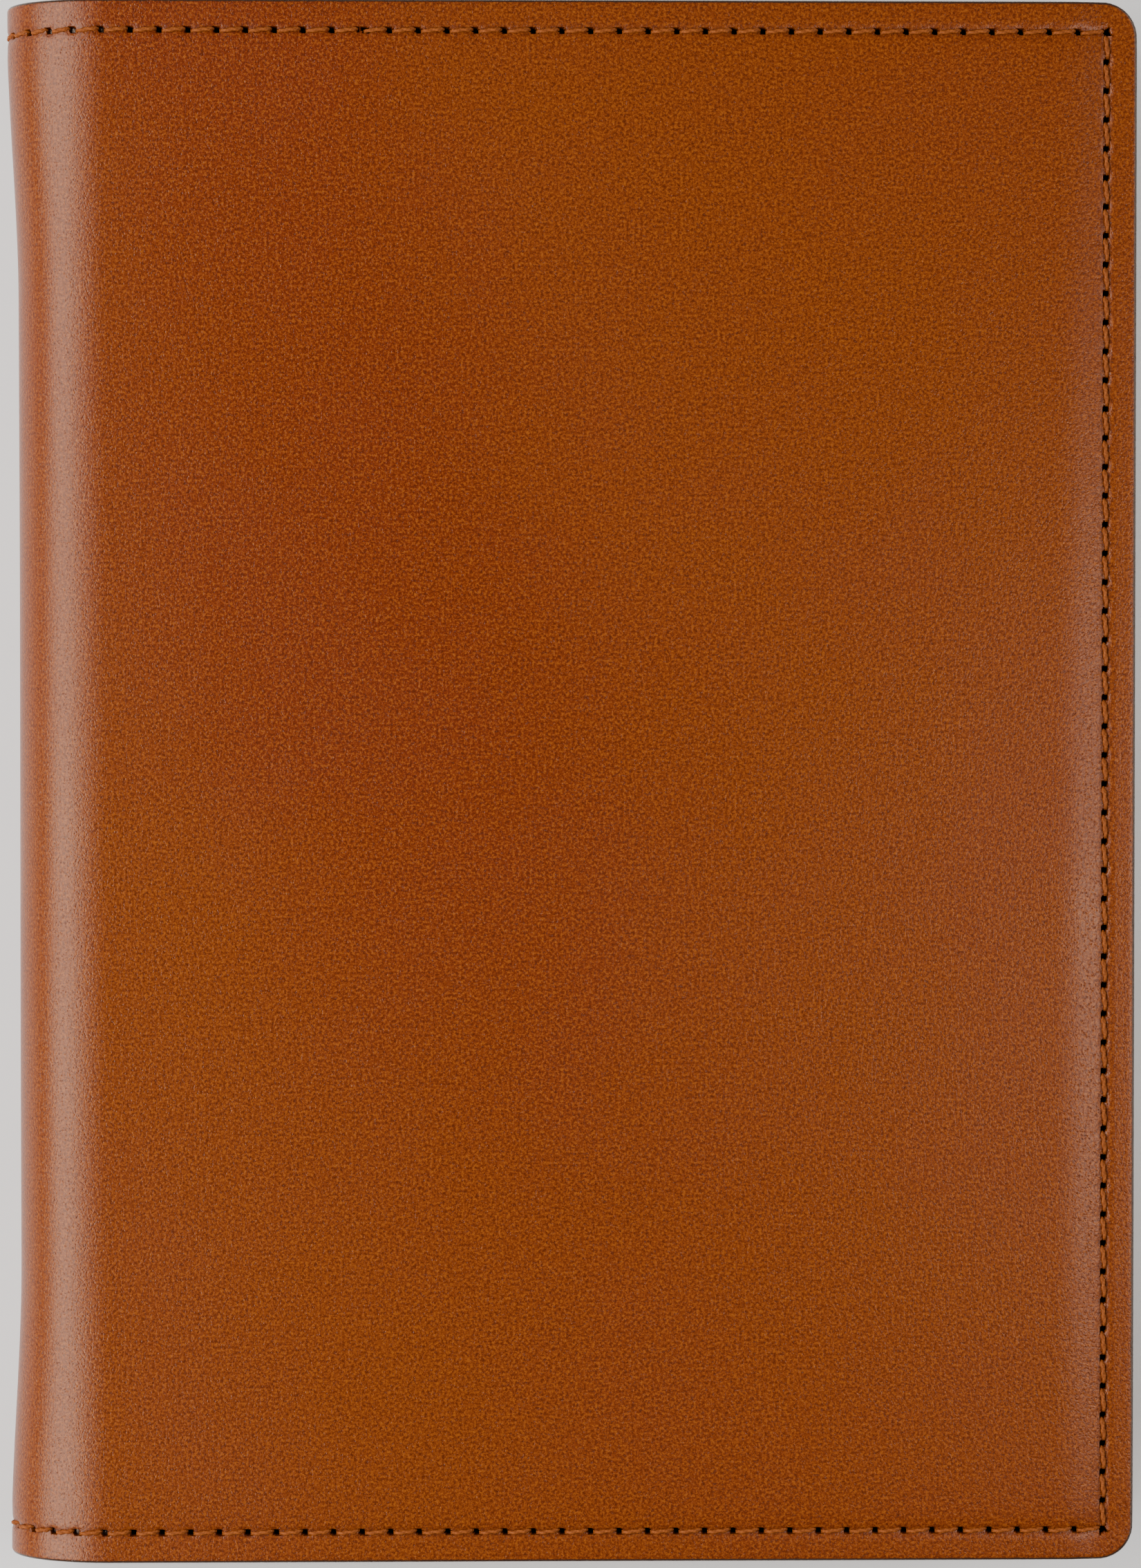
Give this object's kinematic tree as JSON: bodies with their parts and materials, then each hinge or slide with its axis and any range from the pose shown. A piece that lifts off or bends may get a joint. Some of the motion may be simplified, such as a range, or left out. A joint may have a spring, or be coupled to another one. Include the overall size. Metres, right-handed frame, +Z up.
{
  "type": "leather notebook cover",
  "caption": "Wrap-around leather cover for a sewn A5 notebook, stitched round the edge, with a curved spine that unrolls flat, inner sleeves and the notebook held inside",
  "frame": {"origin": "middle of the flat underside of the closed cover, on the table", "axes": "+X to the fore-edge, +Y to the head, +Z up through the closed notebook"},
  "size_m": [0.16, 0.22, 0.02],
  "materials": {
    "leather": "smooth vegetable-tanned tan leather, dark burnished cut edges",
    "thread": "waxed twisted linen thread",
    "lining": "thin unfinished split leather",
    "board": "pressed fibre board",
    "card": "matt card",
    "paper": "uncoated cream paper",
    "tape": "woven binding tape"
  },
  "bodies": {
    "back_cover": {"back_leather": "leather", "back_stiffener": "board", "back_lining": "lining", "back_sleeve": "leather", "back_card": "card", "back_stitching": "thread", "signature_1": "paper", "signature_2": "paper", "signature_3": "paper", "signature_4": "paper", "signature_5": "paper", "signature_6": "paper", "signature_7": "paper", "signature_8": "paper", "binding_tape": "tape"},
    "spine_1": {"spine_leather_1": "leather", "spine_lining_1": "lining", "spine_stitching_1": "thread"},
    "spine_2": {"spine_leather_2": "leather", "spine_lining_2": "lining", "spine_stitching_2": "thread"},
    "spine_3": {"spine_leather_3": "leather", "spine_lining_3": "lining", "spine_stitching_3": "thread"},
    "spine_4": {"spine_leather_4": "leather", "spine_lining_4": "lining", "spine_stitching_4": "thread"},
    "spine_5": {"spine_leather_5": "leather", "spine_lining_5": "lining", "spine_stitching_5": "thread"},
    "front_cover": {"front_leather": "leather", "front_stiffener": "board", "front_lining": "lining", "front_sleeve": "leather", "front_card": "card", "front_stitching": "thread"}
  },
  "joints": [
    {"name": "spine_fold_1", "type": "hinge", "parent": "back_cover", "child": "spine_1", "pos_m": [-0.07259, 0, 0.00034], "axis": [0, -1, 0], "range_deg": [0, 30], "stiffness_Nm_per_rad": 0.1},
    {"name": "spine_fold_2", "type": "hinge", "parent": "spine_1", "child": "spine_2", "pos_m": [-0.07707, 0, 0.00293], "axis": [0, -1, 0], "range_deg": [0, 30], "stiffness_Nm_per_rad": 0.1},
    {"name": "spine_fold_3", "type": "hinge", "parent": "spine_2", "child": "spine_3", "pos_m": [-0.07966, 0, 0.00741], "axis": [0, -1, 0], "range_deg": [0, 30], "stiffness_Nm_per_rad": 0.1},
    {"name": "spine_fold_4", "type": "hinge", "parent": "spine_3", "child": "spine_4", "pos_m": [-0.07966, 0, 0.01259], "axis": [0, -1, 0], "range_deg": [0, 30], "stiffness_Nm_per_rad": 0.1},
    {"name": "spine_fold_5", "type": "hinge", "parent": "spine_4", "child": "spine_5", "pos_m": [-0.07707, 0, 0.01707], "axis": [0, -1, 0], "range_deg": [0, 30], "stiffness_Nm_per_rad": 0.1},
    {"name": "spine_fold_6", "type": "hinge", "parent": "spine_5", "child": "front_cover", "pos_m": [-0.07259, 0, 0.01966], "axis": [0, -1, 0], "range_deg": [0, 30], "stiffness_Nm_per_rad": 0.1}
  ]
}
